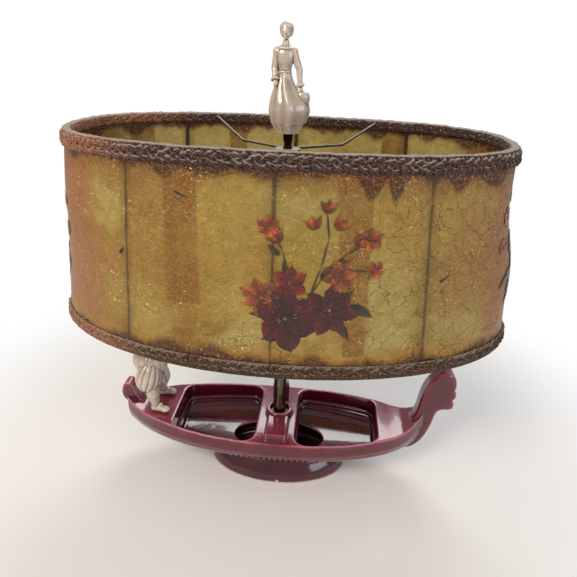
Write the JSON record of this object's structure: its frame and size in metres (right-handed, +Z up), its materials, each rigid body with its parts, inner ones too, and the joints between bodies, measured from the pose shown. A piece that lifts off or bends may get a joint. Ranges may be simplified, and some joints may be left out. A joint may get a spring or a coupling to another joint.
{
  "type": "gondola planter table lamp",
  "caption": "Table lamp with a glazed gondola planter base, oarsman figure, stem, two-light cluster, oval trimmed shade on a wire spider and a lady finial.",
  "frame": {"origin": "on the table under the stem, at the middle of the shade's length and width", "axes": "+X towards the prow along the shade's length, +Y away from the viewer, +Z up the stem"},
  "size_m": [0.502, 0.2666, 0.5224],
  "materials": {
    "burgundy_glaze": "gloss",
    "white_glaze": "gloss",
    "green_felt": "matte",
    "black_bush": "matte",
    "bronzed_steel": "satin",
    "zinc_steel": "satin",
    "aged_brass": "satin",
    "liner_paper": "matte",
    "brown_moulding": "gloss",
    "bulb_glass": "frosted",
    "bulb_metal": "satin",
    "amber_skin": "satin",
    "braid": "matte",
    "grey_wire": "matte"
  },
  "bodies": {
    "base": {"gondola_base": "burgundy_glaze", "gondola_foot": "burgundy_glaze", "gondolier_figure": "white_glaze", "felt_pad": "green_felt", "cord_grommet": "black_bush", "stem_tube": "bronzed_steel", "riser_tube": "bronzed_steel", "lamp_pipe": "zinc_steel", "pipe_washer": "zinc_steel", "pipe_nut": "zinc_steel", "riser_nut": "zinc_steel", "tube_seat_washer": "zinc_steel", "cluster_body": "aged_brass", "socket_cap_left": "aged_brass", "socket_shell_left": "aged_brass", "socket_liner_left": "liner_paper", "socket_interior_left": "brown_moulding", "screw_shell_left": "aged_brass", "centre_contact_left": "aged_brass", "socket_cap_right": "aged_brass", "socket_shell_right": "aged_brass", "socket_liner_right": "liner_paper", "socket_interior_right": "brown_moulding", "screw_shell_right": "aged_brass", "centre_contact_right": "aged_brass"},
    "shade": {"shade_skin": "amber_skin", "trim_top": "braid", "trim_bottom": "braid", "shade_top_ring": "grey_wire", "shade_bottom_ring": "grey_wire", "spider_hub": "grey_wire", "rib_front_left": "grey_wire", "rib_front_middle": "grey_wire", "rib_front_right": "grey_wire", "rib_back_left": "grey_wire", "rib_back_middle": "grey_wire", "rib_back_right": "grey_wire", "rib_left_end": "grey_wire", "rib_right_end": "grey_wire", "arm_front_left": "grey_wire", "arm_front_right": "grey_wire", "arm_back_left": "grey_wire", "arm_back_right": "grey_wire"},
    "finial": {"finial_neck": "aged_brass", "finial_figure": "white_glaze"},
    "key_left": {"turn_key_left": "brown_moulding"},
    "bulb_left": {"bulb_glass_left": "bulb_glass", "bulb_cap_left": "bulb_metal"},
    "key_right": {"turn_key_right": "brown_moulding"},
    "bulb_right": {"bulb_glass_right": "bulb_glass", "bulb_cap_right": "bulb_metal"}
  },
  "joints": [
    {"name": "shade_turn", "type": "hinge", "parent": "base", "child": "shade", "pos_m": [0, 0, 0.405], "axis": [0, 0, 1], "continuous": true},
    {"name": "finial_turn", "type": "hinge", "parent": "base", "child": "finial", "pos_m": [0, 0, 0.412], "axis": [0, 0, 1], "continuous": true},
    {"name": "key_turn_left", "type": "hinge", "parent": "base", "child": "key_left", "pos_m": [-0.03145, -0.02, 0.29293], "axis": [0, -1, 0], "continuous": true},
    {"name": "bulb_turn_left", "type": "hinge", "parent": "base", "child": "bulb_left", "pos_m": [-0.0629, 0, 0.32786], "axis": [-0.6691, 0, 0.7431], "continuous": true},
    {"name": "key_turn_right", "type": "hinge", "parent": "base", "child": "key_right", "pos_m": [0.03145, -0.02, 0.29293], "axis": [0, -1, 0], "continuous": true},
    {"name": "bulb_turn_right", "type": "hinge", "parent": "base", "child": "bulb_right", "pos_m": [0.0629, 0, 0.32786], "axis": [0.6691, 0, 0.7431], "continuous": true}
  ]
}
